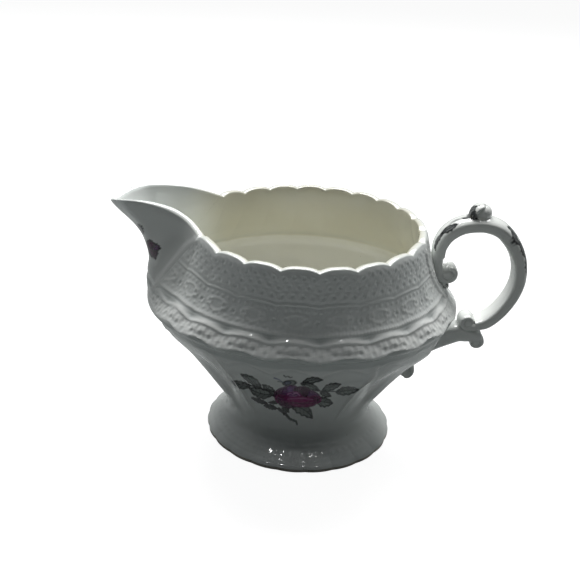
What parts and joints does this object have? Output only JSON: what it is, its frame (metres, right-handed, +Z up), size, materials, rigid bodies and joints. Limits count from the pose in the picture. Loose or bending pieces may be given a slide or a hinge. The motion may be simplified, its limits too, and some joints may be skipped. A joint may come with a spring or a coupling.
{
  "type": "cream jug",
  "caption": "Small glazed porcelain cream jug with an oval flared foot, a fluted bowl, a moulded collar, a scalloped round rim, a broad pouring lip and a scrolled loop handle.",
  "frame": {"origin": "centre of the oval face that the jug stands on", "axes": "+Z up, -X towards the tip of the pouring lip, +X towards the handle"},
  "size_m": [0.1544, 0.101, 0.1008],
  "materials": {
    "glaze_white": "clear glossy glaze over white porcelain, with printed rose sprays",
    "glaze_handle": "clear glossy glaze over white porcelain, with dark printed leaves on the loop",
    "bare_ring": "bare fired porcelain, ground flat, matt"
  },
  "bodies": {
    "root": {"foot_ring": "bare_ring", "foot": "glaze_white", "lower_bowl": "glaze_white", "relief_collar": "glaze_white", "spout": "glaze_white", "handle_loop": "glaze_handle", "handle_top_scroll": "glaze_handle", "thumb_knob": "glaze_handle", "lower_scroll": "glaze_handle", "handle_strut": "glaze_handle", "outer_curl": "glaze_handle", "strut_foot_curl": "glaze_handle"}
  },
  "joints": []
}
